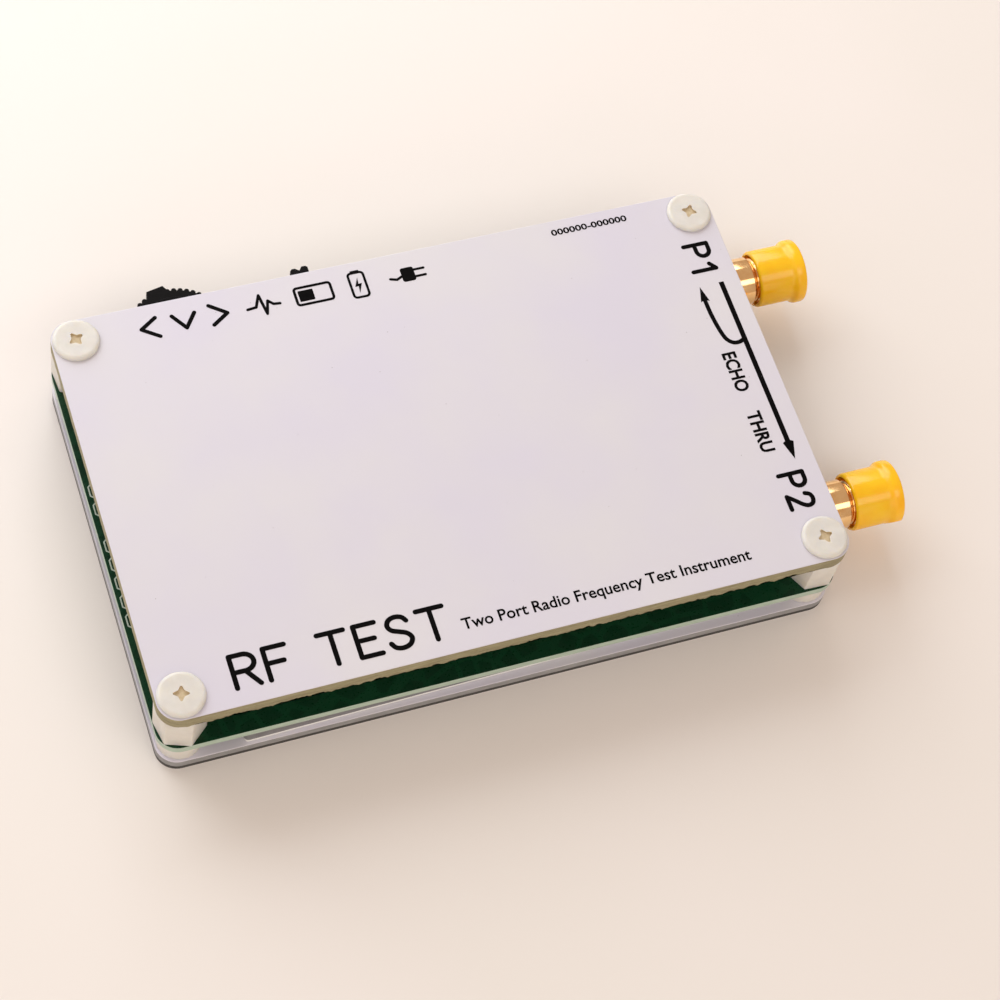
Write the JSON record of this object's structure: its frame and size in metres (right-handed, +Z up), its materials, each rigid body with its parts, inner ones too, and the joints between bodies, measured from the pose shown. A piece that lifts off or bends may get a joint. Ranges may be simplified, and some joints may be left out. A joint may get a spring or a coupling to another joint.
{
  "type": "vector network analyzer",
  "caption": "Pocket RF network analyzer: stacked white boards on nylon standoffs, jog knob, slide switch and capped coaxial ports.",
  "frame": {"origin": "centre of the instrument's outline, caps and knob included, on the plane it rests on screen down", "axes": "+X along the boards towards the two coaxial ports, +Y towards the jog knob, power switch and USB socket, +Z up through the rear cover"},
  "size_m": [0.0964, 0.0594, 0.0148],
  "materials": {
    "board_white": "satin solder mask over tan glass laminate",
    "board_green": "glossy solder mask over glass laminate",
    "nylon": "natural moulded nylon",
    "gold_plate": "polished gold plate",
    "ptfe": "smooth fluoropolymer",
    "cap_yellow": "soft moulded polyethylene",
    "black_plastic": "fine moulded texture",
    "tinned_steel": "tin or nickel plate",
    "touch_film": "glossy film on glass",
    "display_dark": "dark unlit display",
    "display_tray": "satin folded tray",
    "foam": "foam tape",
    "ribbon_film": "amber film with copper tracks",
    "epoxy_black": "moulded epoxy",
    "ferrite": "ground ferrite",
    "capacitor_tan": "fired ceramic with tinned ends",
    "resistor_black": "glazed film with tinned ends",
    "led_clear": "clear epoxy",
    "cell_pouch": "heat-sealed pouch foil",
    "connector_white": "natural moulded nylon",
    "lead_red": "soft insulation",
    "lead_black": "soft insulation"
  },
  "bodies": {
    "case": {"rear_cover": "board_white", "front_panel": "board_white", "main_board": "board_green", "rear_screws": "nylon", "standoffs": "nylon", "panel_spacers": "nylon", "front_screws": "nylon", "port_tx_body": "gold_plate", "port_rx_body": "gold_plate", "port_tx_contact": "gold_plate", "port_rx_contact": "gold_plate", "port_tx_insulator": "ptfe", "port_rx_insulator": "ptfe", "jog_switch_body": "black_plastic", "power_switch_base": "black_plastic", "usb_tongue": "black_plastic", "jog_switch_cover": "tinned_steel", "power_switch_shell": "tinned_steel", "usb_shell": "tinned_steel", "ic_leads": "tinned_steel", "usb_contacts": "tinned_steel", "reference_oscillator": "tinned_steel", "mcu_crystal": "tinned_steel", "touch_panel": "touch_film", "lcd_glass": "display_dark", "lcd_frame": "display_tray", "lcd_tape": "foam", "battery_pad": "foam", "lcd_ribbon": "ribbon_film", "mcu_chip": "epoxy_black", "codec_chip": "epoxy_black", "clock_chip": "epoxy_black", "charger_chip": "epoxy_black", "mixer_chips": "epoxy_black", "regulator_chips": "epoxy_black", "power_inductor": "ferrite", "chip_capacitors": "capacitor_tan", "chip_resistors": "resistor_black", "status_led": "led_clear", "charge_led": "led_clear", "battery_cell": "cell_pouch", "battery_socket": "connector_white", "battery_plug": "connector_white", "battery_lead_red": "lead_red", "battery_lead_black": "lead_black"},
    "jog_plunger": {"jog_carrier": "black_plastic"},
    "jog_dial": {"jog_knob": "black_plastic"},
    "power_slider": {"power_switch_slider": "black_plastic"},
    "tx_cap": {"cap_tx": "cap_yellow"},
    "rx_cap": {"cap_rx": "cap_yellow"}
  },
  "joints": [
    {"name": "jog_push", "type": "slide", "parent": "case", "child": "jog_plunger", "axis": [0, -1, 0], "range_m": [0, 0.0005], "stiffness_N_per_m": 3000},
    {"name": "jog_turn", "type": "hinge", "parent": "jog_plunger", "child": "jog_dial", "pos_m": [-0.03205, 0.02264, 0.0084], "axis": [0, 0, 1], "range_deg": [-12, 12], "stiffness_Nm_per_rad": 0.02},
    {"name": "power_slide", "type": "slide", "parent": "case", "child": "power_slider", "axis": [1, 0, 0], "range_m": [-0.002, 0]},
    {"name": "cap_tx_pull", "type": "slide", "parent": "case", "child": "tx_cap", "axis": [1, 0, 0], "range_m": [0, 0.008]},
    {"name": "cap_rx_pull", "type": "slide", "parent": "case", "child": "rx_cap", "axis": [1, 0, 0], "range_m": [0, 0.008]}
  ]
}
